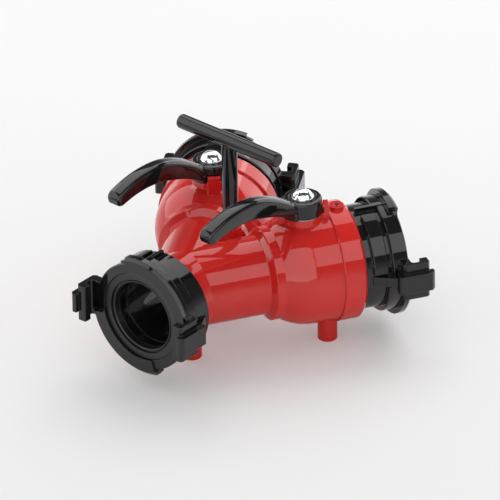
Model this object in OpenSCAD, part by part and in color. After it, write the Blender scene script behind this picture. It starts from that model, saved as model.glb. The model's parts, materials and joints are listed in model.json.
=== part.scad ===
// Gated wye for fire hose: one inlet, two outlets, a quarter-turn ball valve in each outlet,
// two-claw quick couplings on all three ports, a T carrying handle and three feet.
// Origin: the point where the three pipe axes meet. The inlet points along -Y, the outlets
// lie at wye_angle either side of +Y, and +Z is up.

/* [Waterway] */
// Bore of every passage, ball and coupling
bore_d = 75; // [60:1:80]
// Wall of the inlet tube and of the two branch tubes
tube_wall = 4.5; // [4:0.1:6]
// Angle of each outlet away from straight on
wye_angle = 30; // [27:1:35]
// Distance from the pipe junction to the centre of each ball
ball_reach = 126; // [122:1:132]
// Length of the inlet tube up to the coupling's neck
inlet_tube_len = 32.3; // [26:0.1:45]

/* [Valve] */
// Diameter of the ball
ball_d = 100; // [98:1:102]
// Gap between ball and cavity wall
cavity_gap = 3; // [2:0.5:4]
// Wall of the round valve body
housing_wall = 7.8; // [6:0.5:9]
// Axial length of one seat ring
seat_len = 9; // [7:0.5:10]
// Distance from the ball's centre to the back of each seat
seat_back = 37; // [36:0.5:38]
// Radial width of the seat rings
seat_w = 7; // [6:0.25:7.5]
// Running gap between ball and seat
ball_clear = 0.25; // [0.1:0.05:0.4]
// Height of the stem boss above the pipe axes
boss_top = 65.4; // [64:0.2:70]
// Radius of the stem boss
boss_r = 20.5; // [19:0.5:23]
// Radius of the stem
stem_r = 8; // [7:0.5:9]
// Radial running gap of the stem in its boss
stem_clear = 0.06; // [0.02:0.01:0.1]

/* [End plug and collar] */
// Distance from the ball's centre to the start of the collar
collar_start = 24.8; // [22:1:26]
// Length of the collar
collar_len = 24.7; // [20:0.5:26]
// Step of the collar above the valve body
collar_step = 2.3; // [1.5:0.1:4]
// Radius of the threaded bore that takes the end plug
plug_bore_r = 55.5; // [54.5:0.5:56]
// Radius of the threaded nozzle that carries a coupling
nozzle_r = 43.9; // [43:0.1:45]
// Radial gap left in every screwed or slid joint of fixed pieces
thread_clear = 0.1; // [0.05:0.05:0.2]
// Radius of the lock screw
lock_r = 3; // [2.5:0.5:4]
// Radius of the boss that the lock screw sits in
lock_boss_r = 7.6; // [6:0.2:9]

/* [Coupling] */
// Length from the rim to the neck's end
coupling_len = 47.8; // [46.4:0.2:52]
// Radius of the neck and barrel
neck_r = 55.2; // [54:0.5:57]
// Radius of the two raised bands
band_r = 59.8; // [58:0.2:61]
// Radius of the shoulder behind the locking ledge
shoulder_r = 60.8; // [60:0.2:62]
// Radius of the locking ledge
ledge_r = 66.6; // [65:0.2:68]
// Ledge thickness at its thin end
ledge_thin = 7.5; // [7:0.5:9]
// Ledge thickness at its thick end
ledge_thick = 10.5; // [9:0.5:11]
// Depth of the sealing face behind the rim
face_depth = 2; // [1.5:0.5:3]
// Length of the front band
front_band_len = 17; // [15:0.5:18]
// Width of the groove between the bands
groove_len = 5.3; // [4:0.1:6]
// Length of the rear band
rear_band_len = 15.7; // [14:0.1:17]
// Outer radius of the face seal
seal_r = 49.3; // [48:0.2:51]
// Depth of the face seal
seal_len = 9; // [7:0.5:11]
// Length of the screwed joint between coupling and nozzle
thread_len = 24; // [20:1:28]
// Thickness of the flat gasket at the nozzle's end
gasket_len = 2; // [1:0.5:3]

/* [Claws] */
// Reach of a claw ahead of the rim
claw_reach = 16.6; // [14:0.2:20]
// Space between rim and hook, which takes the mating ledge
hook_gap = 8.5; // [8:0.5:9]
// Width of a claw
claw_w = 40.6; // [36:0.5:44]
// Outer distance of a claw's base from the coupling axis
claw_r = 71.9; // [71:0.5:74]
// Inner distance of the hook from the coupling axis
hook_r = 60.2; // [60:0.2:62]
// Width of the rib on a claw
claw_rib_w = 20.8; // [16:0.2:26]
// Height of the rib on a claw
claw_rib_h = 5.5; // [3:0.5:7]

/* [Levers] */
// Radius of the lever hub
hub_r = 20.6; // [19:0.2:21.5]
// Height of the lever hub
hub_h = 17.2; // [16:0.2:18.4]
// Reach of a lever from its stem axis
lever_reach = 157; // [120:1:170]
// Width of a lever
lever_w = 17; // [14:0.5:19]
// Depth of a lever at its middle
lever_depth = 21.4; // [18:0.2:23]
// Height of a lever's crest above the pipe axes
lever_crest = 121; // [115:0.5:126]
// Distance of the crest from the stem axis
crest_at = 116; // [100:1:125]
// Gap between the hub and the thrust washer
hub_gap = 0.3; // [0.2:0.1:0.5]
// Thickness of the thrust washer under the hub
thrust_h = 0.8; // [0.6:0.1:1.2]

/* [Handle] */
// Length of the handle bar
bar_len = 134.4; // [110:1:150]
// Diameter of the handle bar
bar_d = 15.8; // [13:0.2:18]
// Height of the bar's axis above the pipe axes
bar_z = 146.9; // [135:1:165]
// Diameter of the handle post
post_d = 16.6; // [14:0.2:18]
// Distance of the post from the pipe junction
post_y = 66.4; // [58:0.5:66]
// Top of the boss that the post is screwed into
post_seat_z = 46; // [42:1:52]

/* [Feet] */
// Diameter of the feet
foot_d = 20.8; // [16:0.2:24]
// Height of the pipe axes above the ground
axis_height = 83.5; // [80:0.2:100]
// Distance of the rear feet past the ball's centre, along their branch
rear_foot_past = 21; // [18:1:24]
// Offset of the rear feet away from the middle
rear_foot_out = 13; // [10:1:20]
// Distance of the front foot behind the junction
front_foot_y = 1.8; // [0:0.2:10]

/* [Hidden] */
$fn = 96;
eps = 0.01;
bore_r = bore_d / 2;
tube_r = bore_r + tube_wall;
ball_r = ball_d / 2;
cavity_r = ball_r + cavity_gap;
seat_bore_gap = 0.5;
seat_r = bore_r + seat_bore_gap + seat_w;
seat_wall = 2;
housing_r = cavity_r + housing_wall;
collar_r = housing_r + collar_step;
collar_at = ball_reach + collar_start;
collar_end = collar_at + collar_len;
plug_shoulder = collar_at + 2;
plug_r = plug_bore_r - thread_clear;
neck_gap = 0.8;
outlet_rim = collar_end + neck_gap + coupling_len;
inlet_rim = inlet_tube_len + coupling_len;
nozzle_tip = coupling_len - thread_len;
chamfer = 3;
band_arc = 75;
shoulder_depth = 24.5;
hub_taper = 0.5;
flare_len = 34;
flare = 1.5;
tip_fall = 7;
seal_face = 3;
rib_lead = 4.4;
fillet = 3.5;
ledge_bevel = 3;
edge = 0.8;

// angles of the claw coupling, measured from one claw towards the next
small_arc = 72;
step_arc = 64.5;
rib_arc = 84.5;
rib_span = 3.5;
step_proud = 2;
claw_arc = 8;

// stem stack, from the ball up
tang_w = 12;
tang_len = 30;
tang_depth = 7.5;
tang_clear = 0.1;
collar_gap = 0.4;
shoulder_h = 5;
stem_collar_r = 12;
stem_collar_z = ball_r + collar_gap;
stem_pocket_z = stem_collar_z + shoulder_h + collar_gap;
hub_z = boss_top + thrust_h + hub_gap;
hub_top = hub_z + hub_h;
square_w = 11.2;
washer_r = 13.9;
washer_h = 1.5;
stud_r = 5.5;
nut_r = 11.8;
nut_h = 9.2;
washer_sink = 2;
washer_z = hub_top - washer_sink;
nut_z = washer_z + washer_h;
stem_ring_z = boss_top - 5;

// stop lugs on the stem boss
lug_turn = 47;
lug_w = 13.4;
lug_in = hub_r + 0.8;
lug_out = 26.8;
lug_top = 74.6;
skirt_half = 27;
skirt_r = 25;
arm_floor = lug_top + 0.4;

// feet and handle seats
foot_pad_front = 6;
foot_pad_rear = 1.8;
foot_stud_r = 4;
foot_stud_len = 8;
rear_pad_z = collar_r + foot_pad_rear;
front_pad_z = tube_r + foot_pad_front;
post_boss_r = 12;
post_stud_r = 6;
post_stud_len = 13.5;
saddle = 3;

body_red = "#b3241e";
cast_black = "#2a2a2b";
rubber_black = "#1c1c1c";
steel = "#b8bcc0";
chrome = "#d9dcdf";
white_plastic = "#e9e7e0";
alloy = "#c3c6c8";

// ---- placing ----

// Turns a shape built along +Z so that it points along a port: 0 inlet, 1 right, -1 left
module along(port) {
    turn = port == 0 ? 0 : port * (180 - wye_angle);
    rotate([0, 0, turn]) rotate([90, 0, 0]) children();
}

// Carries a shape built about the Z axis to the stem axis of the right (1) or left (-1) valve
module at_stem(side) {
    translate([side * ball_reach * sin(wye_angle), ball_reach * cos(wye_angle), 0]) children();
}

// A tube along +Z between two heights
module tube(r_out, r_in, z0, z1) {
    translate([0, 0, z0]) difference() {
        cylinder(r = r_out, h = z1 - z0);
        translate([0, 0, -1]) cylinder(r = r_in, h = z1 - z0 + 2);
    }
}

// A solid of revolution about Z from [radius, height] points
module turned(points) {
    rotate_extrude() polygon(points);
}

// Points of an arc about a centre, from one angle to another
function arc(centre, r, a0, a1) =
    [for (i = [0:6]) centre + r * [cos(a0 + (a1 - a0) * i / 6), sin(a0 + (a1 - a0) * i / 6)]];

// A pie slice of the coupling, from one claw angle to another, between two heights
module slice(a0, a1, z0, z1) {
    reach = 2 * ledge_r;
    mid = (a0 + a1) / 2;
    translate([0, 0, z0]) linear_extrude(height = z1 - z0)
        polygon([
            [0, 0],
            [-reach * cos(a0), reach * sin(a0)],
            [-reach * cos(mid), reach * sin(mid)],
            [-reach * cos(a1), reach * sin(a1)]
        ]);
}

// ---- wye body ----

// Outside of one branch: tube, front collar, round valve body, rear collar
module branch_skin() {
    front = ball_reach - seat_back - 9;
    bead_r = seat_r + 4.5;
    bead_end = ball_reach - sqrt(pow(housing_r, 2) - pow(bead_r, 2));
    cylinder(r = tube_r, h = ball_reach);
    turned([[0, front - 4], [tube_r, front - 4], [bead_r - 1.2, front], [bead_r, front + 1.2],
            [bead_r, bead_end], [0, bead_end]]);
    translate([0, 0, front]) cylinder(r = seat_r + seat_wall, h = ball_reach - front);
    translate([0, 0, ball_reach]) {
        sphere(r = housing_r);
        cylinder(r = housing_r, h = collar_start + 1);
    }
    turned([[0, collar_at], [collar_r - edge, collar_at], [collar_r, collar_at + edge],
            [collar_r, collar_end - chamfer], [collar_r - chamfer, collar_end], [0, collar_end]]);
}

// Hollow of one branch: bore, seat pocket, ball cavity, threaded bore
module branch_hollow() {
    cylinder(r = bore_r, h = ball_reach);
    translate([0, 0, ball_reach - seat_back])
        cylinder(r = seat_r + thread_clear, h = seat_back);
    translate([0, 0, ball_reach]) {
        sphere(r = cavity_r);
        cylinder(r = cavity_r, h = collar_start + 3);
    }
    translate([0, 0, plug_shoulder]) cylinder(r = plug_bore_r, h = housing_r);
}

// Stem boss with its two stop lugs, which sit at equal turns from the middle of the travel
module stem_boss(side) {
    translate([0, 0, ball_r - 10]) cylinder(r = boss_r, h = boss_top - ball_r + 10 - edge);
    translate([0, 0, boss_top - edge])
        cylinder(r1 = boss_r, r2 = boss_r - edge, h = edge);
    for (a = [-90 - lug_turn, lug_turn])
        rotate([0, 0, side > 0 ? a : 180 - a])
            translate([0, -lug_w / 2, ball_r]) {
                cube([lug_out, lug_w, boss_top - ball_r - eps]);
                translate([lug_in, 0, 0]) cube([lug_out - lug_in, lug_w, lug_top - ball_r]);
            }
}

// Bore, stem pocket and lug clearance of one stem boss
module stem_bore() {
    translate([0, 0, ball_r - 5]) {
        cylinder(r = stem_r + stem_clear, h = boss_top);
        cylinder(r = stem_collar_r + collar_gap, h = stem_pocket_z - ball_r + 5);
    }
}

module foot_pad(bottom, top) {
    translate([0, 0, -bottom]) cylinder(r = foot_d / 2, h = bottom - top);
}

module foot_hole(bottom) {
    translate([0, 0, -bottom - 1])
        cylinder(r = foot_stud_r + thread_clear, h = foot_stud_len + 1.5);
}

// Carries a shape to a rear foot: 1 right, -1 left
module at_rear_foot(side) {
    rotate([0, 0, -side * wye_angle])
        translate([side * rear_foot_out, ball_reach + rear_foot_past, 0]) children();
}

module wye_body() {
    color(body_red) difference() {
        union() {
            along(0) {
                cylinder(r = tube_r, h = inlet_tube_len);
                turned([[0, inlet_tube_len - eps], [nozzle_r - 1, inlet_tube_len - eps],
                        [nozzle_r, inlet_tube_len + 1],
                        [nozzle_r, inlet_rim - nozzle_tip - 1],
                        [nozzle_r - 1, inlet_rim - nozzle_tip], [0, inlet_rim - nozzle_tip]]);
            }
            for (side = [-1, 1]) {
                along(side) branch_skin();
                at_stem(side) stem_boss(side);
                rotate([0, 0, -side * wye_angle])
                    translate([0, collar_at + collar_len / 2, ball_r])
                        cylinder(r = lock_boss_r, h = collar_r + 3.7 - ball_r);
                at_rear_foot(side) foot_pad(rear_pad_z, ball_r);
            }
            translate([0, post_y, 10]) cylinder(r = post_boss_r, h = post_seat_z - 10);
            translate([0, front_foot_y, 0]) foot_pad(front_pad_z, bore_r + 1);
        }
        along(0) cylinder(r = bore_r, h = inlet_rim);
        for (side = [-1, 1]) {
            along(side) branch_hollow();
            at_stem(side) stem_bore();
            rotate([0, 0, -side * wye_angle])
                translate([0, collar_at + collar_len / 2, ball_r])
                    cylinder(r = lock_r + thread_clear, h = collar_r);
            at_rear_foot(side) foot_hole(rear_pad_z);
        }
        translate([0, post_y, post_seat_z - post_stud_len - 0.5])
            cylinder(r = post_stud_r + thread_clear, h = post_stud_len + 1);
        translate([0, front_foot_y, 0]) foot_hole(front_pad_z);
    }
}

// ---- end plug, seats and seals of a valve ----

plug_groove = 4;

module end_plug() {
    pocket = ball_reach + seat_back;
    tip = outlet_rim - nozzle_tip;
    turned([
        [bore_r, pocket], [seat_r + thread_clear, pocket], [seat_r + thread_clear, plug_shoulder],
        [plug_r, plug_shoulder], [plug_r, plug_shoulder + plug_groove],
        [plug_r - 2.5, plug_shoulder + plug_groove],
        [plug_r - 2.5, plug_shoulder + plug_groove + 3.2],
        [plug_r, plug_shoulder + plug_groove + 3.2],
        [plug_r, collar_end - 1 - edge], [plug_r - edge, collar_end - 1],
        [nozzle_r, collar_end - 1], [nozzle_r, tip - 1], [nozzle_r - 1, tip], [bore_r, tip]
    ]);
}

module plug_ring() {
    translate([0, 0, plug_shoulder + plug_groove + 1.6])
        rotate_extrude() translate([plug_r - 1.2, 0]) circle(r = 1.25, $fn = 32);
}

// A seat ring whose inner face follows the ball; way is 1 towards the outlet, -1 inwards
module seat(way) {
    translate([0, 0, ball_reach]) difference() {
        mirror([0, 0, way > 0 ? 0 : 1])
            tube(seat_r, bore_r + seat_bore_gap, seat_back - seat_len, seat_back);
        sphere(r = ball_r + ball_clear);
    }
}

// ---- ball and stem ----

module ball(side) {
    difference() {
        along(side) translate([0, 0, ball_reach]) difference() {
            sphere(r = ball_r);
            translate([0, 0, -ball_r - 1]) cylinder(r = bore_r, h = 2 * ball_r + 2);
        }
        at_stem(side) rotate([0, 0, -side * wye_angle])
            translate([-ball_r, -tang_w / 2, ball_r - tang_depth])
                cube([2 * ball_r, tang_w, ball_r]);
    }
}

module stem(side) {
    at_stem(side) difference() {
        union() {
            rotate([0, 0, -side * wye_angle])
                translate([-tang_len / 2, -tang_w / 2 + tang_clear, ball_r - tang_depth + 0.3])
                    intersection() {
                        cube([tang_len, tang_w - 2 * tang_clear, tang_depth + 1]);
                        translate([tang_len / 2, tang_w / 2 - tang_clear, 0])
                            cylinder(r = stem_collar_r - edge, h = tang_depth + 1);
                    }
            translate([0, 0, stem_collar_z]) cylinder(r = stem_collar_r, h = shoulder_h);
            translate([0, 0, stem_collar_z]) cylinder(r = stem_r, h = hub_z - stem_collar_z);
            translate([-square_w / 2, -square_w / 2, hub_z - eps])
                cube([square_w, square_w, washer_z - hub_z - 0.5]);
            translate([0, 0, hub_z]) cylinder(r = stud_r, h = nut_z - hub_z + 6);
        }
        tube(stem_r + 1, stem_r - 1.5, stem_ring_z - 1.1, stem_ring_z + 1.1);
    }
}

module stem_ring(side) {
    at_stem(side) translate([0, 0, stem_ring_z])
        rotate_extrude() translate([stem_r - 0.73, 0]) circle(r = 0.75, $fn = 32);
}

module thrust_washer(side) {
    at_stem(side) tube(hub_r - 0.4, stem_r + stem_clear, boss_top, boss_top + thrust_h);
}

// ---- lever ----

// Where the bow leaves the hub's top, in [distance from stem, height]; it starts inside the hub
arm_root = [hub_r * 0.85, hub_top + 0.3];
arm_start = hub_r * 0.4;
rise = lever_crest - arm_root[1];
lever_bow = (pow(crest_at - arm_root[0], 2) + pow(rise, 2)) / (2 * rise);
bow_centre = [crest_at, lever_crest - lever_bow];
bow_start = asin((arm_start - crest_at) / lever_bow);
bow_end = asin((lever_reach - crest_at) / (lever_bow - lever_depth / 2));
tip_len = 9;
arm_rings = 30;

// Widest half of the arm, where it leaves the hub
arm_width = lever_w / 2 + flare + 1;

// Depth of the arm, thinner where it leaves the hub
function arm_depth(t) = lever_depth * (0.62 + 0.38 * sin(90 * min(1, t * 2.2)));

// How far the arm's top falls below the bow towards the tip
function top_fall(t) = tip_fall * pow(max(0, t - 0.5) / 0.5, 1.1);

// Size of the arm's upper chamfers, widest beside the hub
function arm_chamfer(t) = 2.6 + 3 * (1 - pow(t, 2));

// Half width of the arm at a distance from the stem axis: it flares out to meet the hub
function arm_half(d) =
    lever_w / 2 + flare * pow(max(0, 1 - max(0, d - 8) / flare_len), 1.6);

// Shrinks the last rings into a rounded tip
function tip_shape(left) = left >= tip_len ? 1 : sqrt(1 - pow(1 - left / tip_len, 2)) * 0.62 + 0.38;

// One eight-cornered ring of the arm at the share t of its length
function arm_ring(t) =
    let (
        a = bow_start + (bow_end - bow_start) * t,
        left = (1 - t) * (bow_end - bow_start) * PI / 180 * lever_bow,
        s = tip_shape(left),
        w = arm_half(bow_centre[0] + lever_bow * sin(a)) * (0.6 + 0.4 * s),
        d = arm_depth(t),
        top = lever_bow - top_fall(t) - (1 - s) * d * 0.3,
        low = lever_bow - d + (1 - s) * d * 0.3,
        c = arm_chamfer(t) * s,
        b = 1.4 * s,
        ring = [[-w, top - c], [-w + c, top], [w - c, top], [w, top - c],
                [w, low + b], [w - b, low], [-w + b, low], [-w, low + b]]
    )
    [for (p = ring) [p[0], -(bow_centre[0] + p[1] * sin(a)), bow_centre[1] + p[1] * cos(a)]];

module lever_arm() {
    n = arm_rings;
    pts = [for (i = [0:n]) each arm_ring(i < n - 6 ? i / (n - 6) * 0.94 : 0.94 + (i - n + 6) / 6 * 0.06)];
    sides = [for (i = [0:n - 1], k = [0:7])
        [i * 8 + k, i * 8 + (k + 1) % 8, (i + 1) * 8 + (k + 1) % 8, (i + 1) * 8 + k]];
    ends = [[for (k = [7:-1:0]) k], [for (k = [0:7]) n * 8 + k]];
    polyhedron(points = pts, faces = concat(sides, ends), convexity = 4);
}

// Fan under the arm that meets the stop lugs at both ends of the travel
module stop_skirt() {
    far = 2 * skirt_r;
    intersection() {
        translate([0, 0, hub_z]) cylinder(r = skirt_r, h = arm_floor + 1 - hub_z);
        translate([0, 0, hub_z]) linear_extrude(height = arm_floor + 1 - hub_z)
            polygon([[0, 0], [-far * sin(skirt_half), -far * cos(skirt_half)],
                     [far * sin(skirt_half), -far * cos(skirt_half)]]);
    }
}

module lever(side) {
    at_stem(side) difference() {
        union() {
            translate([0, 0, hub_z]) cylinder(r1 = hub_r, r2 = hub_r - hub_taper, h = hub_h - 1.5);
            translate([0, 0, hub_top - 1.5])
                cylinder(r1 = hub_r - hub_taper, r2 = hub_r - hub_taper - 1.5, h = 1.5);
            stop_skirt();
            intersection() {
                lever_arm();
                translate([-arm_width, -2 * lever_reach, arm_floor])
                    cube([2 * arm_width, 2 * lever_reach, lever_crest]);
            }
        }
        translate([0, 0, washer_z]) cylinder(r = washer_r + 0.4, h = lever_crest);
        translate([-square_w / 2 - 0.1, -square_w / 2 - 0.1, hub_z - 1])
            cube([square_w + 0.2, square_w + 0.2, hub_h + 2]);
    }
}

module washer(side) {
    at_stem(side) tube(washer_r, stud_r + 0.1, washer_z, nut_z);
}

// Dome nut: a flange with a low round crown over a blind threaded hole
module dome_nut(side) {
    crown = nut_h - 1.6;
    dome_r = (pow(nut_r - 0.6, 2) + pow(crown, 2)) / (2 * crown);
    at_stem(side) translate([0, 0, nut_z]) difference() {
        union() {
            cylinder(r = nut_r, h = 1.6);
            intersection() {
                translate([0, 0, nut_h - dome_r]) sphere(r = dome_r);
                translate([0, 0, 1]) cylinder(r = nut_r, h = nut_h);
            }
        }
        translate([0, 0, -1]) cylinder(r = stud_r + 0.05, h = 7.2);
    }
}

module lock_screw(side) {
    rotate([0, 0, -side * wye_angle])
        translate([0, collar_at + collar_len / 2, plug_bore_r + 0.2]) difference() {
            cylinder(r = lock_r, h = collar_r + 2.7 - plug_bore_r);
            translate([0, 0, collar_r - plug_bore_r])
                cylinder(r = lock_r * 0.6, h = 4, $fn = 6);
        }
}

// ---- claw coupling ----

// Ledge over one large arc, a ramp like a screw thread's
module ledge() {
    a1 = 180 - claw_arc;
    mid = (small_arc + a1) / 2;
    half = (a1 - small_arc) / 2;
    mean = (ledge_thin + ledge_thick) / 2;
    tilt = atan((ledge_thick - ledge_thin) / 2 / (ledge_r * sin(half)));
    intersection() {
        ledge_ring(2 * ledge_thick);
        slice(small_arc, a1, -2 * ledge_thick - 1, 1);
        rotate([0, 0, 180 - mid]) rotate([-tilt, 0, 0])
            translate([0, -ledge_r * 1.5, -mean]) cube([ledge_r * 1.5, ledge_r * 3, 4 * mean]);
    }
}

// Full ring with the ledge's section, down to a depth behind the rim
module ledge_ring(depth) {
    turned([[seal_r, -face_depth - eps], [seal_r, 0], [ledge_r - ledge_bevel, 0],
            [ledge_r, -ledge_bevel],
            [ledge_r, -depth + 2], [ledge_r - 2, -depth], [neck_r, -depth],
            [neck_r, -face_depth - eps]]);
}

// One claw on the -X side: root, arm with a hook, the rib on its back and a gusset behind it
module claw() {
    root = -12;
    rib_root = -18.4;
    arm_in = ledge_r + 0.4;
    top = claw_r + claw_rib_h;
    rotate([90, 0, 0]) {
        linear_extrude(height = claw_w, center = true)
            polygon([[-neck_r + 2, root], [-claw_r + 3, root], [-claw_r, root + 3],
                     [-claw_r, claw_reach - 2.5], [-claw_r + 2.5, claw_reach],
                     [-hook_r - 1, claw_reach], [-hook_r, claw_reach - 1], [-hook_r, hook_gap],
                     each arc([fillet - arm_in, hook_gap - fillet], fillet, 90, 180),
                     each arc([fillet - arm_in, fillet - face_depth], fillet, 180, 270),
                     [-neck_r + 2, -face_depth]]);
        linear_extrude(height = claw_rib_w, center = true)
            polygon([[-claw_r + 4, rib_root], [-top + 2, rib_root], [-top, rib_root + 2],
                     [-top, claw_reach + rib_lead - 3.5], [-top + 3.5, claw_reach + rib_lead],
                     [-arm_in - 2, claw_reach + rib_lead], [-arm_in - 2, root + 1],
                     [-neck_r, root + 1]]);
        linear_extrude(height = 10, center = true)
            polygon([[-neck_r + 2, -coupling_len + 7], [-neck_r - 1, -coupling_len + 7],
                     [-claw_r + 3, rib_root + 1], [-neck_r + 2, rib_root + 1]]);
    }
}

// The side of a coupling that carries one claw; turned half round, it gives the other
module coupling_half() {
    front_end = -face_depth - front_band_len;
    rear_start = front_end - groove_len;
    rear_end = rear_start - rear_band_len;
    intersection() {
        turned([[bore_r, rear_end], [band_r - 1, rear_end], [band_r, rear_end + 1],
                [band_r, rear_start - edge], [band_r - edge, rear_start], [bore_r, rear_start]]);
        slice(claw_arc, band_arc, rear_end - 1, rear_start + 1);
    }
    intersection() {
        turned([[bore_r, -shoulder_depth], [shoulder_r - 1, -shoulder_depth],
                [shoulder_r, -shoulder_depth + 1], [shoulder_r, -face_depth], [bore_r, -face_depth]]);
        slice(rib_arc + rib_span, 180 - claw_arc, -shoulder_depth - 1, 0);
    }
    intersection() {
        turned([[bore_r, rear_end - 3], [shoulder_r, rear_end - 3],
                [shoulder_r, -face_depth - 4], [bore_r, -face_depth - 4]]);
        slice(rib_arc, rib_arc + rib_span, rear_end - 4, 0);
    }
    intersection() {
        turned([[seal_r + 2, -face_depth - 5], [shoulder_r + step_proud, -face_depth - 5],
                [shoulder_r + step_proud, -seal_face], [seal_r + 2, -seal_face]]);
        slice(step_arc, small_arc + 1, -20, 0);
    }
    ledge();
    claw();
}

module coupling() {
    land = -nozzle_tip + gasket_len;
    front_end = -face_depth - front_band_len;
    color(cast_black) difference() {
        union() {
            turned([[bore_r, -coupling_len], [neck_r - 1, -coupling_len],
                    [neck_r, -coupling_len + 1], [neck_r, front_end],
                    [band_r - edge, front_end], [band_r, front_end + edge],
                    [band_r, -face_depth - 1], [band_r - 1, -face_depth], [bore_r, -face_depth]]);
            for (turn = [0, 180]) rotate([0, 0, turn]) coupling_half();
        }
        translate([0, 0, -coupling_len - 1]) cylinder(r = bore_r, h = coupling_len + 2);
        translate([0, 0, -seal_face - seal_len]) cylinder(r = seal_r, h = seal_len + seal_face + 1);
        translate([0, 0, -coupling_len - 1])
            cylinder(r = nozzle_r + thread_clear, h = coupling_len + 1 + land);
    }
}

// Face seal: a flat ring with a groove and a lip beside the bore
module face_seal() {
    front = -seal_face;
    back = -seal_face - seal_len;
    r = seal_r - thread_clear;
    turned([[bore_r + 0.1, back], [r, back], [r, front - 0.6], [r - 0.6, front],
            [bore_r + 4.2, front], [bore_r + 3.6, front - 2.8], [bore_r + 2.4, front - 2.8],
            [bore_r + 1.9, front - 1.2], [bore_r + 0.9, front - 1], [bore_r + 0.1, front - 1.8]]);
}

module gasket() {
    tube(nozzle_r, bore_r + 0.3, -nozzle_tip, -nozzle_tip + gasket_len);
}

// ---- handle and feet ----

module handle_post() {
    difference() {
        union() {
            translate([0, post_y, post_seat_z]) cylinder(d = post_d, h = bar_z - saddle - post_seat_z);
            translate([0, post_y, post_seat_z - post_stud_len])
                cylinder(r = post_stud_r, h = post_stud_len + 1);
        }
        translate([-bar_len, post_y, bar_z]) rotate([0, 90, 0])
            cylinder(d = bar_d + 2 * thread_clear, h = 2 * bar_len);
    }
}

// A round bar with softened ends, welded into the post's saddle
module handle_bar() {
    end = 2.2;
    translate([0, post_y, bar_z]) rotate([0, 90, 0]) turned([
        [0, -bar_len / 2], [bar_d / 2 - end, -bar_len / 2],
        [bar_d / 2 - end * 0.3, -bar_len / 2 + end * 0.3], [bar_d / 2, -bar_len / 2 + end],
        [bar_d / 2, bar_len / 2 - end], [bar_d / 2 - end * 0.3, bar_len / 2 - end * 0.3],
        [bar_d / 2 - end, bar_len / 2], [0, bar_len / 2]]);
}

// A peg foot standing on the ground, with a stud screwed up into its pad
module foot(pad) {
    translate([0, 0, -axis_height]) {
        cylinder(r1 = foot_d / 2 - edge, r2 = foot_d / 2, h = edge);
        translate([0, 0, edge - eps]) cylinder(d = foot_d, h = axis_height - pad - edge + eps);
        translate([0, 0, edge])
            cylinder(r = foot_stud_r, h = axis_height - pad - edge + foot_stud_len);
    }
}

// ---- named pieces ----

module inlet_coupling() { along(0) translate([0, 0, inlet_rim]) coupling(); }
module left_coupling() { along(-1) translate([0, 0, outlet_rim]) coupling(); }
module right_coupling() { along(1) translate([0, 0, outlet_rim]) coupling(); }
module inlet_seal() { color(rubber_black) along(0) translate([0, 0, inlet_rim]) face_seal(); }
module left_seal() { color(rubber_black) along(-1) translate([0, 0, outlet_rim]) face_seal(); }
module right_seal() { color(rubber_black) along(1) translate([0, 0, outlet_rim]) face_seal(); }
module inlet_gasket() { color(rubber_black) along(0) translate([0, 0, inlet_rim]) gasket(); }
module left_gasket() { color(rubber_black) along(-1) translate([0, 0, outlet_rim]) gasket(); }
module right_gasket() { color(rubber_black) along(1) translate([0, 0, outlet_rim]) gasket(); }
module left_end_plug() { color(alloy) along(-1) end_plug(); }
module right_end_plug() { color(alloy) along(1) end_plug(); }
module left_plug_ring() { color(rubber_black) along(-1) plug_ring(); }
module right_plug_ring() { color(rubber_black) along(1) plug_ring(); }
module left_inner_seat() { color(white_plastic) along(-1) seat(-1); }
module right_inner_seat() { color(white_plastic) along(1) seat(-1); }
module left_outer_seat() { color(white_plastic) along(-1) seat(1); }
module right_outer_seat() { color(white_plastic) along(1) seat(1); }
module left_ball() { color(chrome) ball(-1); }
module right_ball() { color(chrome) ball(1); }
module left_stem() { color(steel) stem(-1); }
module right_stem() { color(steel) stem(1); }
module left_stem_ring() { color(rubber_black) stem_ring(-1); }
module right_stem_ring() { color(rubber_black) stem_ring(1); }
module left_thrust_washer() { color(steel) thrust_washer(-1); }
module right_thrust_washer() { color(steel) thrust_washer(1); }
module left_lever() { color(cast_black) lever(-1); }
module right_lever() { color(cast_black) lever(1); }
module left_washer() { color(steel) washer(-1); }
module right_washer() { color(steel) washer(1); }
module left_dome_nut() { color(chrome) dome_nut(-1); }
module right_dome_nut() { color(chrome) dome_nut(1); }
module left_lock_screw() { color(steel) lock_screw(-1); }
module right_lock_screw() { color(steel) lock_screw(1); }
module front_foot() { color(body_red) translate([0, front_foot_y, 0]) foot(front_pad_z); }
module left_foot() { color(body_red) at_rear_foot(-1) foot(rear_pad_z); }
module right_foot() { color(body_red) at_rear_foot(1) foot(rear_pad_z); }

wye_body();
inlet_coupling();
left_coupling();
right_coupling();
inlet_seal();
left_seal();
right_seal();
inlet_gasket();
left_gasket();
right_gasket();
left_end_plug();
right_end_plug();
left_plug_ring();
right_plug_ring();
left_inner_seat();
right_inner_seat();
left_outer_seat();
right_outer_seat();
left_ball();
right_ball();
left_stem();
right_stem();
left_stem_ring();
right_stem_ring();
left_thrust_washer();
right_thrust_washer();
left_lever();
right_lever();
left_washer();
right_washer();
left_dome_nut();
right_dome_nut();
left_lock_screw();
right_lock_screw();
color(cast_black) handle_post();
color(cast_black) handle_bar();
front_foot();
left_foot();
right_foot();
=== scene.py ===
"""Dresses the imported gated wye: finishes for castings and fittings, smooth valve levers, a plain studio."""

import json
import math

import bmesh
import bpy
import numpy as np
from mathutils import Matrix, Vector


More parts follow.
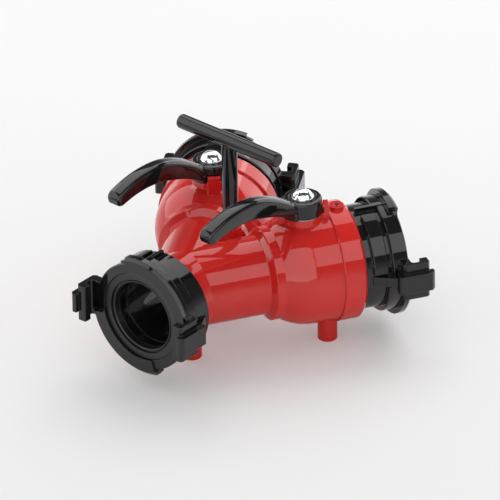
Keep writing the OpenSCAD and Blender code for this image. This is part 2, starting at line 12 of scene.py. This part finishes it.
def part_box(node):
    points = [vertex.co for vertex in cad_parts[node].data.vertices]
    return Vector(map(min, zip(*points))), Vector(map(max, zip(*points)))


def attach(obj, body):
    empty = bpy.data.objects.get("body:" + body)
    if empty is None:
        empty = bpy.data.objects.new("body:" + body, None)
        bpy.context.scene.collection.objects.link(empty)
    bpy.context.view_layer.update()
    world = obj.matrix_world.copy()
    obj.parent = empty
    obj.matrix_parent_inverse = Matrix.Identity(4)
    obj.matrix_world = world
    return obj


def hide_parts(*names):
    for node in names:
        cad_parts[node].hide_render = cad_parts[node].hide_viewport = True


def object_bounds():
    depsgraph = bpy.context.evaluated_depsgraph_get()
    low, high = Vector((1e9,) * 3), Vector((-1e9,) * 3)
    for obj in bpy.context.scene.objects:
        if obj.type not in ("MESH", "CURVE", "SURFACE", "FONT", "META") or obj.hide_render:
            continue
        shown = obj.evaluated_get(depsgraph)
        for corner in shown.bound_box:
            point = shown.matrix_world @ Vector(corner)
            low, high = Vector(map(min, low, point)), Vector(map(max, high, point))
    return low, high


bl_info = {
    "name": "Gated wye",
    "version": (1, 0, 0),
    "blender": (4, 5, 0),
    "location": "3D View > Sidebar > Wye",
    "description": "Finishes and levers for a gated hose wye, with a plain studio",
    "category": "Object",
}

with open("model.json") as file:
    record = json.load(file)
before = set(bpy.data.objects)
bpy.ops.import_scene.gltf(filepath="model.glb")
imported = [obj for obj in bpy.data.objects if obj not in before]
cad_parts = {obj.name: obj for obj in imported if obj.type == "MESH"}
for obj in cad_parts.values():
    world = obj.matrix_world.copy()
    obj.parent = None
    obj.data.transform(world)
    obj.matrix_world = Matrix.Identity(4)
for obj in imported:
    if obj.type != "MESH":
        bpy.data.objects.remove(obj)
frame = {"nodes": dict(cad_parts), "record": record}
CAD_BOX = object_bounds()
NODES = frame["nodes"]
GROUND = CAD_BOX[0].z
MM = 0.001

# the right valve's corners, in millimetres; the left valve is its mirror image
STEM_LOW, STEM_HIGH = (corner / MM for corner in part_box("right_stem"))
WASHER_LOW, WASHER_HIGH = (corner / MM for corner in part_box("right_washer"))
LEVER_LOW, LEVER_HIGH = (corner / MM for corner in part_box("right_lever"))

# what the levers are built to, in millimetres and degrees; a stem stands over the axis of its outlet pipe
STEM_X, STEM_Y = ((STEM_LOW + STEM_HIGH) / 2).xy
WYE_ANGLE = math.degrees(math.atan2(STEM_X, STEM_Y))
BORE_R = next(m["dims"]["r_mm"] for m in frame["record"]["mounts"] if m["name"] == "inlet_bore")
WASHER_R, WASHER_Z, WASHER_SINK = (WASHER_HIGH.x - WASHER_LOW.x) / 2, WASHER_LOW.z, 2.0
HUB_R, HUB_TAPER = LEVER_HIGH.x - STEM_X, 0.5
HUB_Z, HUB_TOP = LEVER_LOW.z, WASHER_Z + WASHER_SINK
SKIRT_R, SKIRT_HALF = 25.0, 27.0
ARM_FLOOR = 75.0


# ---- small helpers ----


def linear(code):
    """An sRGB hex colour as linear RGBA.

    Each channel is v / 12.92 below 0.04045, else ((v + 0.055) / 1.055) ^ 2.4.
    """
    v = np.array([int(code[i : i + 2], 16) for i in (1, 3, 5)]) / 255
    v = np.where(v <= 0.04045, v / 12.92, ((v + 0.055) / 1.055) ** 2.4)
    return (*map(float, v), 1.0)


def node(tree, kind, settings=None, stops=(), **inputs):
    """Adds one shader node, with its settings and a colour ramp's (position, RGBA) stops.

    Its inputs are set, or linked where the value is a socket; each is named in words, or by its number.
    """
    made = tree.nodes.new(kind)
    for key, value in (settings or {}).items():
        setattr(made, key, value)
    for i, (at, colour) in enumerate(stops):
        step = made.color_ramp.elements[i] if i < 2 else made.color_ramp.elements.new(at)
        step.position, step.color = at, colour
    for key, value in inputs.items():
        socket = made.inputs[int(key[1:]) if key[1:].isdigit() else key.replace("_", " ")]
        if isinstance(value, bpy.types.NodeSocket):
            tree.links.new(value, socket)
        else:
            socket.default_value = value
    return made


def cells(size):
    """The scale at which one cell of a noise is a size in millimetres across."""
    return 1 / (size * MM)


def start_material(name):
    """An empty node material, its tree, and object coordinates to place its patterns by."""
    made = bpy.data.materials.new(name)
    made.use_nodes = True
    tree = made.node_tree
    tree.nodes.clear()
    place = node(tree, "ShaderNodeTexCoord").outputs["Object"]
    return made, tree, place


# ---- finishes ----


def enamel(name, colour, deep, rough, edge, bore_shade=None):
    """Powder coat baked on a cast alloy: even colour, clear gloss, faint orange peel and softened edges;
    given a colour for the bores, near-black painted shade inside them.
    """
    made, tree, place = start_material(name)
    cloud = node(tree, "ShaderNodeTexNoise", Vector=place, Scale=cells(35.7), Detail=3.0, Roughness=0.5)
    tones = [(0.3, deep), (0.7, colour)]
    tone = node(tree, "ShaderNodeValToRGB", stops=tones, Fac=cloud.outputs["Fac"]).outputs["Color"]
    # painted shade: inside the bores the coat's colour gives way to near black, where shade falls
    if bore_shade:
        tone = shade_bores(tree, place, tone, bore_shade)
    streak = node(tree, "ShaderNodeTexNoise", Vector=place, Scale=cells(16.7), Detail=4.0, Roughness=0.6)
    gloss = node(
        tree,
        "ShaderNodeMapRange",
        From_Min=0.3,
        From_Max=0.7,
        To_Min=rough * 0.85,
        To_Max=rough * 1.2,
        Value=streak.outputs["Fac"],
    )
    # orange peel: dimples about 2 mm across, a few hundredths of a millimetre deep
    dimple = node(tree, "ShaderNodeTexNoise", Vector=place, Scale=cells(2.08), Detail=1.0, Roughness=0.4)
    rounded = node(tree, "ShaderNodeBevel", {"samples": 6}, Radius=edge * MM)
    skin = node(
        tree,
        "ShaderNodeBump",
        Strength=0.12,
        Distance=0.04 * MM,
        Height=dimple.outputs["Fac"],
        Normal=rounded.outputs[0],
    )
    shader = node(
        tree,
        "ShaderNodeBsdfPrincipled",
        Base_Color=tone,
        Roughness=gloss.outputs[0],
        Normal=skin.outputs[0],
        IOR=1.5,
    )
    node(tree, "ShaderNodeOutputMaterial", Surface=shader.outputs[0])
    return made


def shade_bores(tree, place, colour, bore_shade):
    """Mixes in painted shade: a near-black colour painted inside the waterway's bores, standing in for the
    shade that falls there.

    It covers what lies within a bore's radius of a pipe's axis, on the pipe's own side of the junction:
    the length of the cross product with the pipe's direction is small, and the dot product isn't negative.
    """
    reach = (BORE_R + 0.6) * MM
    inside = 0.0
    for turn in (180.0, WYE_ANGLE, -WYE_ANGLE):
        a = math.radians(turn)
        out = (math.sin(a), math.cos(a), 0)
        along = node(tree, "ShaderNodeVectorMath", {"operation": "DOT_PRODUCT"}, _0=place, _1=out)
        square = node(tree, "ShaderNodeVectorMath", {"operation": "CROSS_PRODUCT"}, _0=place, _1=out)
        off = node(tree, "ShaderNodeVectorMath", {"operation": "LENGTH"}, _0=square.outputs["Vector"])
        near = node(tree, "ShaderNodeMath", {"operation": "LESS_THAN"}, _0=off.outputs["Value"], _1=reach)
        ahead = node(tree, "ShaderNodeMath", {"operation": "GREATER_THAN"}, _0=along.outputs["Value"], _1=-MM)
        both = {"_0": near.outputs[0], "_1": ahead.outputs[0]}
        part = node(tree, "ShaderNodeMath", {"operation": "MULTIPLY"}, **both)
        most = node(tree, "ShaderNodeMath", {"operation": "MAXIMUM"}, _0=inside, _1=part.outputs[0])
        inside = most.outputs[0]
    # the near-black painted shade is mixed in wherever the bore mask is one
    mixed = node(tree, "ShaderNodeMix", {"data_type": "RGBA"}, _0=inside, _6=colour, _7=linear(bore_shade))
    return mixed.outputs[2]


def rubber(name, colour, rough):
    """Moulded nitrile rubber: near black, matt, with a fine grain."""
    made, tree, place = start_material(name)
    grain = node(tree, "ShaderNodeTexNoise", Vector=place, Scale=cells(1.11), Detail=2.0)
    tones = [(0.3, linear("#131313")), (0.75, linear(colour))]
    tone = node(tree, "ShaderNodeValToRGB", stops=tones, Fac=grain.outputs["Fac"])
    rounded = node(tree, "ShaderNodeBevel", {"samples": 4}, Radius=0.5 * MM)
    skin = node(
        tree,
        "ShaderNodeBump",
        Strength=0.25,
        Distance=0.05 * MM,
        Height=grain.outputs["Fac"],
        Normal=rounded.outputs[0],
    )
    shader = node(
        tree,
        "ShaderNodeBsdfPrincipled",
        Base_Color=tone.outputs["Color"],
        Roughness=rough,
        Normal=skin.outputs[0],
        IOR=1.52,
    )
    node(tree, "ShaderNodeOutputMaterial", Surface=shader.outputs[0])
    return made


def metal(name, colour, dark, rough, grain, edge):
    """Turned or plated metal: full metallic colour, with a gloss that varies by a grain in millimetres."""
    made, tree, place = start_material(name)
    marks = node(tree, "ShaderNodeTexNoise", Vector=place, Scale=cells(grain), Detail=4.0)
    tones = [(0.25, linear(dark)), (0.7, linear(colour))]
    tone = node(tree, "ShaderNodeValToRGB", stops=tones, Fac=marks.outputs["Fac"])
    gloss = node(
        tree,
        "ShaderNodeMapRange",
        From_Min=0.3,
        From_Max=0.7,
        To_Min=rough * 0.8,
        To_Max=rough * 1.25,
        Value=marks.outputs["Fac"],
    )
    rounded = node(tree, "ShaderNodeBevel", {"samples": 4}, Radius=edge * MM)
    shader = node(
        tree,
        "ShaderNodeBsdfPrincipled",
        Base_Color=tone.outputs["Color"],
        Metallic=1.0,
        Roughness=gloss.outputs[0],
        Normal=rounded.outputs[0],
    )
    node(tree, "ShaderNodeOutputMaterial", Surface=shader.outputs[0])
    return made


def bearing_plastic(name, colour):
    """Machined PTFE seat: waxy white, with a soft sheen."""
    made, tree, place = start_material(name)
    cloud = node(tree, "ShaderNodeTexNoise", Vector=place, Scale=cells(11.1), Detail=3.0)
    tones = [(0.3, linear("#D9D5CB")), (0.7, linear(colour))]
    tone = node(tree, "ShaderNodeValToRGB", stops=tones, Fac=cloud.outputs["Fac"]).outputs["Color"]
    shader = node(tree, "ShaderNodeBsdfPrincipled", Base_Color=tone, Roughness=0.42, IOR=1.38)
    node(tree, "ShaderNodeOutputMaterial", Surface=shader.outputs[0])
    return made


def outwards(mesh):
    """Points every face of closed shells away from their insides, with soft shading under 35 degrees."""
    made = bmesh.new()
    made.from_mesh(mesh)
    bmesh.ops.recalc_face_normals(made, faces=made.faces)
    for face in made.faces:
        face.smooth = True
    for edge in made.edges:
        edge.smooth = len(edge.link_faces) == 2 and edge.calc_face_angle(0.0) < math.radians(35)
    made.to_mesh(mesh)
    made.free()


def dress(names, finish):
    """Puts one finish into every material slot of the named CAD nodes."""
    for name in names:
        piece = NODES[name]
        if not piece.material_slots:
            piece.data.materials.append(finish)
        for slot in piece.material_slots:
            slot.material = finish


def named(*endings):
    """The CAD nodes whose names end in one of the given words."""
    return [n for n in sorted(NODES) if n.endswith(endings)]


# ---- settings ----


def colour_setting(name, description, code):
    """A colour with its opacity, from an sRGB hex code."""
    return bpy.props.FloatVectorProperty(
        name=name, description=description, default=linear(code), size=4, subtype="COLOR", min=0, max=1
    )


def size_setting(name, description, size, low, high):
    """A length given in millimetres and held in metres."""
    return bpy.props.FloatProperty(
        name=name, description=description, default=size * MM, min=low * MM, max=high * MM, unit="LENGTH"
    )


class WyeFinish(bpy.types.PropertyGroup):
    """Colours, gloss and edges of the coats"""

    red: colour_setting("Red", "Powder coat of the body", "#D62A25")
    red_deep: colour_setting("Deep red", "Darker patches of the body's coat", "#CE2722")
    black: colour_setting("Black", "Coat of couplings, levers and handle", "#171718")
    black_deep: colour_setting("Deep black", "Darker patches of the black coat", "#131314")
    rough: bpy.props.FloatProperty(
        name="Roughness",
        description="Roughness of the coats",
        default=0.05,
        min=0.02,
        max=0.8,
        subtype="FACTOR",
    )
    edge: size_setting("Edge", "Softened edge of the castings", 0.9, 0.1, 3)


class WyeLever(bpy.types.PropertyGroup):
    """Sizes of the valve levers"""

    reach: size_setting("Reach", "Reach from the stem's axis", 157.0, 110, 170)
    width: size_setting("Width", "Width of the arm", 17.0, 12, 20)
    depth: size_setting("Depth", "Depth of the arm at its middle", 21.4, 16, 24)
    crest: size_setting("Crest", "Height of the bow above the pipe axes", 121.0, 110, 130)
    crest_at: size_setting("Crest distance", "Distance of the crest from the stem", 116.0, 90, 130)


class WyeStage(bpy.types.PropertyGroup):
    """Floor and light of the studio"""

    floor: colour_setting("Floor", "Colour of the floor", "#EFEFEF")
    room: bpy.props.FloatProperty(
        name="Room light", description="Level of the light from all round", default=0.76, min=0, max=2
    )
    box_level: bpy.props.FloatProperty(
        name="Soft box level", description="Brightness of each soft box's face", default=1.75, min=0, max=8
    )


# ---- operators ----


class WYE_OT_body(bpy.types.Operator):
    """Red powder coat on the cast body and the peg feet"""

    bl_idname = "wye.body"
    bl_label = "Body and feet"

    def execute(self, context):
        look = context.scene.wye_finish
        tones = (look.red, look.red_deep)
        # the near-black given here is painted shade for the insides of the bores
        red = enamel("red_powder_coat", *tones, look.rough, look.edge / MM, bore_shade="#1C1B1B")
        dress(["wye_body", *named("_foot")], red)
        return {"FINISHED"}


class WYE_OT_couplings(bpy.types.Operator):
    """Black hard coat on the claw couplings, rubber in their faces"""

    bl_idname = "wye.couplings"
    bl_label = "Couplings and seals"

    def execute(self, context):
        look = context.scene.wye_finish
        black = enamel("black_hard_coat", look.black, look.black_deep, look.rough, look.edge / MM)
        dress(named("_coupling"), black)
        dress(named("_seal", "_gasket", "_ring"), rubber("nitrile_rubber", "#1A1A1A", 0.38))
        return {"FINISHED"}


class WYE_OT_valves(bpy.types.Operator):
    """Balls, seats, stems, plugs and screws of the two valves"""

    bl_idname = "wye.valves"
    bl_label = "Valve pieces"

    def execute(self, context):
        # the pieces, and the metal's name, two tones, roughness, grain and softened edge in millimetres
        metals = [
            (["_ball"], "hard_chrome", "#D8DADD", "#C9CBCE", 0.06, 33.3, 0.4),
            (["_dome_nut"], "mirror_chrome", "#F0F1F3", "#E4E6E8", 0.03, 33.3, 0.3),
            (["_stem", "_thrust_washer"], "turned_steel", "#A9ACB0", "#8F9296", 0.3, 2.5, 0.2),
            (["_lock_screw"], "steel_fastener", "#7C7F83", "#5F6266", 0.35, 2.5, 0.2),
            (["left_washer", "right_washer"], "blackened_steel", "#3A3A3C", "#2C2C2E", 0.24, 3.33, 0.2),
            (["_end_plug"], "turned_alloy", "#B4B6B8", "#9A9DA0", 0.32, 3.85, 0.4),
        ]
        for endings, name, colour, dark, rough, grain, edge in metals:
            dress(named(*endings), metal(name, colour, dark, rough, grain, edge))
        dress(named("_seat"), bearing_plastic("seat_plastic", "#ECE9E2"))
        return {"FINISHED"}


def shell(rings, closed_path):
    """Vertices and faces of a grid of closed rings, along a path that is closed too or capped at its ends."""
    n, m = rings.shape[:2]
    i = np.arange(n if closed_path else n - 1)[:, None]
    j = np.arange(m)[None, :]
    near, far = i * m, (i + 1) % n * m
    quads = np.stack([near + j, far + j, far + (j + 1) % m, near + (j + 1) % m], -1).reshape(-1, 4)
    faces = quads.tolist()
    if not closed_path:
        faces += [list(range(m)), list(range(n * m - 1, (n - 1) * m - 1, -1))]
    return rings.reshape(-1, 3), faces


def rounded_ring(half, top, low, r_top, r_low, steps=8):
    """Rounded rectangles, one per row: four quarter circles whose centres lie a radius inside the corners."""
    turn = np.linspace(0, math.pi / 2, steps)
    parts = []
    for quarter, (sx, high) in enumerate(((1, True), (-1, True), (-1, False), (1, False))):
        r = (r_top if high else r_low)[:, None]
        centre = (top[:, None] - r) if high else (low[:, None] + r)
        a = turn[None, :] + quarter * math.pi / 2
        parts.append(np.stack([sx * (half[:, None] - r) + r * np.cos(a), centre + r * np.sin(a)], -1))
    return np.concatenate(parts, axis=1)


def lever_arm(lever):
    """The arm: rounded rectangles carried along a circular bow that crests before a blunt, drooping tip.

    With the crest a height h above the root and a distance d beyond it, the bow's radius is (d^2 + h^2) / 2h.
    Along the share t of the length, the top falls below the bow by tip_fall * (2t - 1) ^ 1.1 past the middle,
    and the depth is 0.62 + 0.38 * sin(198 degrees * t) of the whole until that is all of it.
    Beside the hub each side stands out by flare_by * (1 - (away - flare_from) / flare_len) ^ 1.6.
    Near the tip the sizes shrink with s = 0.26 + 0.74 * sqrt(1 - (1 - left / tip_len) ^ 2).
    """
    reach, width, depth = lever.reach / MM, lever.width / MM, lever.depth / MM
    crest, crest_at = lever.crest / MM, lever.crest_at / MM
    tip_fall, tip_len, flare_by, flare_from, flare_len = 7.0, 9.0, 1.5, 8.0, 34.0
    # the arm's top leaves the hub at the root, and its inner end stands inside the hub
    root, inner_end = np.array([HUB_R * 0.85, HUB_TOP + 0.3]), HUB_R * 0.4
    rise = crest - root[1]
    bow = ((crest_at - root[0]) ** 2 + rise**2) / (2 * rise)
    start = math.asin((inner_end - crest_at) / bow)
    end = math.asin((reach - crest_at) / (bow - depth / 2))
    # the rings stand closer over the last of the length, which rounds off the tip
    last = 0.07
    close = 1 - last + last * np.sin(np.linspace(0, math.pi / 2, 22))
    t = np.concatenate([np.linspace(0, 1 - last, 56), close[1:]])
    a = start + (end - start) * t
    left = (1 - t) * (end - start) * bow
    s = 0.26 + 0.74 * np.sqrt(1 - np.clip(1 - left / tip_len, 0, 1) ** 2)
    away = crest_at + bow * np.sin(a)
    flare = flare_by * np.clip(1 - np.clip(away - flare_from, 0, None) / flare_len, 0, None) ** 1.6
    half = (width / 2 + flare) * (0.55 + 0.45 * s)
    deep = depth * (0.62 + 0.38 * np.sin(math.pi / 2 * np.minimum(1, t * 2.2)))
    top = bow - tip_fall * np.clip(2 * t - 1, 0, None) ** 1.1 - (1 - s) * deep * 0.3
    low = bow - deep + (1 - s) * deep * 0.3
    # the edges are rounder on top, and rounder near the hub than at the tip
    r_top = (3.0 + 3.4 * (1 - t**2)) * (0.45 + 0.55 * s)
    r_low = 2.2 * (0.45 + 0.55 * s)
    ring = rounded_ring(half, top, low, r_top, r_low)
    sa, ca = np.sin(a)[:, None], np.cos(a)[:, None]
    out = crest_at + ring[..., 1] * sa
    up = crest - bow + ring[..., 1] * ca
    return shell(np.stack([ring[..., 0], -out, up], -1), False)


def lever_hub():
    """The hub: a closed profile of [radius, height] points turned about the stem, with the washer's seat."""
    hole, foot, lip = 8.2, 0.5, 2.0
    seat, bevel = WASHER_R + 0.4, 0.8
    rim = np.linspace(0, math.pi / 2, 8)
    r_top = HUB_R - HUB_TAPER
    profile = [(hole, HUB_Z), (HUB_R - foot, HUB_Z), (HUB_R, HUB_Z + foot)]
    profile += [(r_top - lip + lip * math.cos(a), HUB_TOP - lip + lip * math.sin(a)) for a in rim]
    profile += [(seat + bevel, HUB_TOP), (seat, HUB_TOP - bevel), (seat, WASHER_Z), (hole, WASHER_Z)]
    p = np.array(profile)[None, :, :]
    a = np.linspace(0, 2 * math.pi, 145)[:-1][:, None]
    return shell(np.stack([p[..., 0] * np.cos(a), p[..., 0] * np.sin(a), p[..., 1] + 0 * a], -1), True)


def stop_fan():
    """The fan under the arm that meets the stop lugs: a rounded rectangle turned part way about the stem."""
    inner, edge = 9.0, 0.8
    sizes = [(SKIRT_R - inner) / 2, ARM_FLOOR + 1.0, HUB_Z, edge, edge]
    ring = rounded_ring(*(size * np.ones(1) for size in sizes), steps=4)[0]
    a = np.radians(np.linspace(-SKIRT_HALF, SKIRT_HALF, 19))[:, None]
    r = ring[None, :, 0] + (SKIRT_R + inner) / 2
    return shell(np.stack([r * np.sin(a), -r * np.cos(a), ring[None, :, 1] + 0 * a], -1), False)


class WYE_OT_levers(bpy.types.Operator):
    """Cast levers with a smooth bow, and the black coat on them and on the carrying handle"""

    bl_idname = "wye.levers"
    bl_label = "Levers and handle"

    def execute(self, context):
        coat = bpy.data.materials["black_hard_coat"]
        dress([*named("_lever"), "handle_post", "handle_bar"], coat)
        for side, body in ((-1, "left_valve"), (1, "right_valve")):
            points, faces = [], []
            for pts, polygons in (lever_arm(context.scene.wye_lever), lever_hub(), stop_fan()):
                start = sum(len(p) for p in points)
                points.append(pts)
                faces += [[start + k for k in face] for face in polygons]
            at = np.array([side * STEM_X, STEM_Y, 0.0])
            mesh = bpy.data.meshes.new(body)
            mesh.from_pydata(((np.concatenate(points) + at) * MM).tolist(), [], faces)
            outwards(mesh)
            piece = bpy.data.objects.new(body.replace("valve", "lever_casting"), mesh)
            context.scene.collection.objects.link(piece)
            mesh.materials.append(coat)
            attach(piece, body)
            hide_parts(body.replace("valve", "lever"))
        return {"FINISHED"}


def soft_box(name, direction, along, across_deg, along_deg, level, lights_all, distance=3.0):
    """A rectangular lamp that faces the origin from a direction, one side along a given line.

    Its power is pi times its area times the level, so the level is the brightness of its face.
    """
    d = Vector(direction).normalized()
    x = Vector(along) - Vector(along).dot(d) * d
    x.normalize()
    y = d.cross(x)
    w = 2 * distance * math.tan(math.radians(along_deg / 2))
    h = 2 * distance * math.tan(math.radians(across_deg / 2))
    data = bpy.data.lights.new(name, "AREA")
    data.shape = "RECTANGLE"
    data.size, data.size_y = w, h
    data.energy = math.pi * w * h * level
    lamp = bpy.data.objects.new(name, data)
    turn = Matrix((x, y, d)).transposed().to_4x4()
    lamp.matrix_world = Matrix.Translation(d * distance) @ turn
    lamp.visible_diffuse = lights_all
    lamp.visible_camera = False
    bpy.context.scene.collection.objects.link(lamp)


def room_light(level):
    """World light: near white to the camera, an even light on matt faces, and a plain room in the gloss."""
    world = bpy.data.worlds.new("room")
    bpy.context.scene.world = world
    world.use_nodes = True
    tree = world.node_tree
    tree.nodes.clear()
    path = node(tree, "ShaderNodeLightPath")
    seen = node(tree, "ShaderNodeBackground", Color=linear("#F8F8F8"), Strength=1.0)
    lit = node(tree, "ShaderNodeBackground", Color=(1, 1, 1, 1), Strength=level)
    place = node(tree, "ShaderNodeTexCoord").outputs["Generated"]
    height = node(tree, "ShaderNodeSeparateXYZ", Vector=place).outputs["Z"]
    # greys of the room in the gloss, from straight down to straight up: pale floor, dark walls and ceiling
    greys = [(0.0, 0.8), (1.0, 0.1), (0.5, 0.6), (0.62, 0.16)]
    rise = node(tree, "ShaderNodeMapRange", From_Min=-1.0, From_Max=1.0, Value=height).outputs[0]
    stops = [(at, (grey, grey, grey, 1)) for at, grey in greys]
    shade = node(tree, "ShaderNodeValToRGB", stops=stops, Fac=rise).outputs["Color"]
    mirrored = node(tree, "ShaderNodeBackground", Color=shade, Strength=1.0)
    light = lit
    for ray, kind in (("Is Glossy Ray", mirrored), ("Is Camera Ray", seen)):
        ends = {"_1": light.outputs[0], "_2": kind.outputs[0]}
        light = node(tree, "ShaderNodeMixShader", _0=path.outputs[ray], **ends)
    node(tree, "ShaderNodeOutputWorld", Surface=light.outputs[0])


class WYE_OT_stage(bpy.types.Operator):
    """Floor, soft boxes, room light and camera"""

    bl_idname = "wye.stage"
    bl_label = "Studio"

    def execute(self, context):
        stage = context.scene.wye_stage
        # a level square, five metres out to each side
        half = 5.0
        corners = [(x * half, y * half, GROUND) for x, y in ((-1, -1), (1, -1), (1, 1), (-1, 1))]
        mesh = bpy.data.meshes.new("floor")
        mesh.from_pydata(corners, [], [(0, 1, 2, 3)])
        floor = bpy.data.objects.new("floor", mesh)
        context.scene.collection.objects.link(floor)
        made, tree, _ = start_material("studio_floor")
        matt = node(tree, "ShaderNodeBsdfPrincipled", Base_Color=stage.floor, Roughness=0.9, IOR=1.2)
        # to the camera, a quarter of the floor is an even near-white, to meet the background
        white = node(tree, "ShaderNodeEmission", Color=(1, 1, 1, 1), Strength=0.86)
        ray = node(tree, "ShaderNodeLightPath").outputs["Is Camera Ray"]
        share = node(tree, "ShaderNodeMath", {"operation": "MULTIPLY"}, _0=ray, _1=0.25)
        ends = {"_1": matt.outputs[0], "_2": white.outputs[0]}
        shader = node(tree, "ShaderNodeMixShader", _0=share.outputs[0], **ends)
        node(tree, "ShaderNodeOutputMaterial", Surface=shader.outputs[0])
        mesh.materials.append(made)

        a = math.radians(WYE_ANGLE)
        pipe = Vector((math.sin(a), math.cos(a), 0))
        side = Vector((math.cos(a), -math.sin(a), 0))
        up = Vector((0, 0, 1))

        def toward(around, ahead):
            """The direction at an angle up from the right outlet pipe's side, and another ahead along it."""
            t, u = math.radians(around), math.radians(ahead)
            return (side * math.cos(t) + up * math.sin(t)) * math.cos(u) + pipe * math.sin(u)

        # name, direction, line of one side, degrees across that line and along it, and whether matt faces are
        # lit too; neighbours stay clear of each other, as overlapping boxes would add up in the gloss
        left, left_line = Vector((-0.83, -0.30, 0.47)), Vector((0.34, -0.94, 0))
        rear, rear_line = Vector((0, 0.975, 0.22)), Vector((1, 0, 0))
        boxes = [
            ("front_box", toward(34, -25), pipe, 70, 68, False),
            ("side_box", toward(43, 29), pipe, 36, 36, False),
            ("left_box", left, left_line, 56, 70, False),
            ("back_box", toward(123, 17), pipe, 44, 60, True),
            ("wall_box", rear, rear_line, 30, 58, False),
        ]
        for name, direction, line, across, along, lights_all in boxes:
            soft_box(name, direction, line, across, along, stage.box_level, lights_all)
        room_light(stage.room)
        self.camera(context)
        return {"FINISHED"}

    def camera(self, context):
        """A long lens from the front right and thirty degrees above, aimed near the middle of the wye."""
        azimuth, height, roll = (math.radians(angle) for angle in (41.1125, 30.0405, -0.887))
        aim, distance = Vector((36.34, 54.79, 33.96)) * MM, 12.5
        flat = math.cos(height)
        back = Vector((math.sin(azimuth) * flat, -math.cos(azimuth) * flat, math.sin(height)))
        level = Vector((0, 0, 1)).cross(back).normalized()
        right = level * math.cos(roll) + back.cross(level) * math.sin(roll)
        turn = Matrix((right, back.cross(right), back)).transposed().to_4x4()
        data = bpy.data.cameras.new("camera")
        data.sensor_width = 36.0
        data.lens = 863.8
        data.clip_start, data.clip_end = 1.0, 40.0
        cam = bpy.data.objects.new("camera", data)
        cam.matrix_world = Matrix.Translation(aim + back * distance) @ turn
        context.scene.collection.objects.link(cam)
        context.scene.camera = cam


class WYE_PT_panel(bpy.types.Panel):
    """The wye's settings, and a button for each of its steps"""

    bl_label = "Gated wye"
    bl_space_type = "VIEW_3D"
    bl_region_type = "UI"
    bl_category = "Wye"

    def draw(self, context):
        for group in (context.scene.wye_finish, context.scene.wye_lever, context.scene.wye_stage):
            for key in group.__annotations__:
                self.layout.prop(group, key)
        for maker in MAKERS:
            self.layout.operator(maker.bl_idname)


MAKERS = (WYE_OT_body, WYE_OT_couplings, WYE_OT_valves, WYE_OT_levers, WYE_OT_stage)
CLASSES = (WyeFinish, WyeLever, WyeStage, *MAKERS, WYE_PT_panel)


def register():
    for kind in CLASSES:
        bpy.utils.register_class(kind)
    bpy.types.Scene.wye_finish = bpy.props.PointerProperty(type=WyeFinish)
    bpy.types.Scene.wye_lever = bpy.props.PointerProperty(type=WyeLever)
    bpy.types.Scene.wye_stage = bpy.props.PointerProperty(type=WyeStage)


def unregister():
    del bpy.types.Scene.wye_stage
    del bpy.types.Scene.wye_lever
    del bpy.types.Scene.wye_finish
    for kind in reversed(CLASSES):
        bpy.utils.unregister_class(kind)


def main():
    register()
    bpy.context.scene.view_settings.view_transform = "Standard"
    bpy.ops.wye.body()
    bpy.ops.wye.couplings()
    bpy.ops.wye.valves()
    bpy.ops.wye.levers()
    bpy.ops.wye.stage()


if __name__ == "__main__":
    main()
